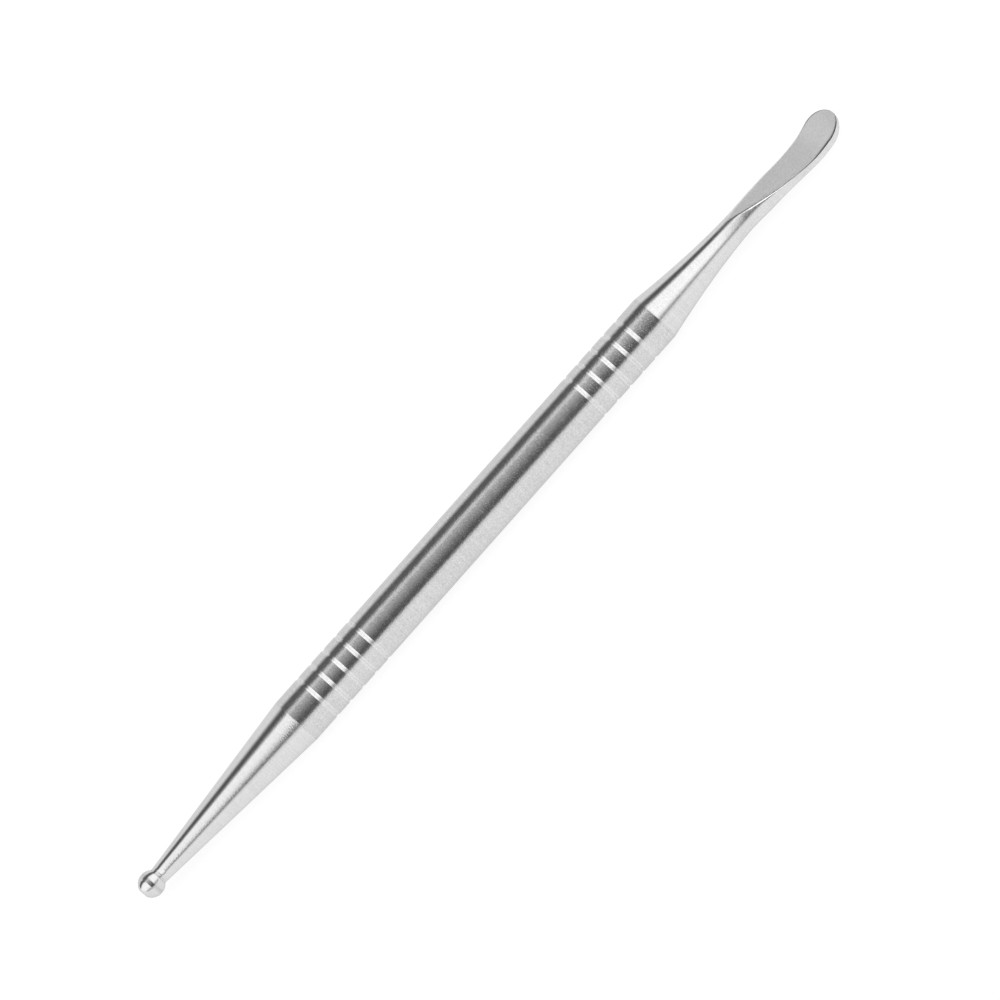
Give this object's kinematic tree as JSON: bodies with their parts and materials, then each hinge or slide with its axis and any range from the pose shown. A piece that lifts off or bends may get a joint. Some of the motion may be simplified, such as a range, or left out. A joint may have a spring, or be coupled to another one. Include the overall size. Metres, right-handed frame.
{
  "type": "cuticle pusher",
  "caption": "Stainless steel cuticle pusher: a grooved round handle with a scooped blade on a flared cone at one end and a small ball on a straight cone at the other.",
  "frame": {"origin": "on the tool's axis, half way along the full-diameter handle", "axes": "+X along the tool's axis towards the blade, +Z the way the blade's scooped face looks, +Y across the blade"},
  "size_m": [0.12, 0.0064, 0.0064],
  "materials": {
    "turned_steel": "turned and lightly polished stainless steel",
    "satin_steel": "stainless steel, polished cone with a fine matt blade face"
  },
  "bodies": {
    "root": {"handle": "turned_steel", "ball_end": "turned_steel", "ball_tip": "turned_steel", "pusher_end": "satin_steel"}
  },
  "joints": []
}
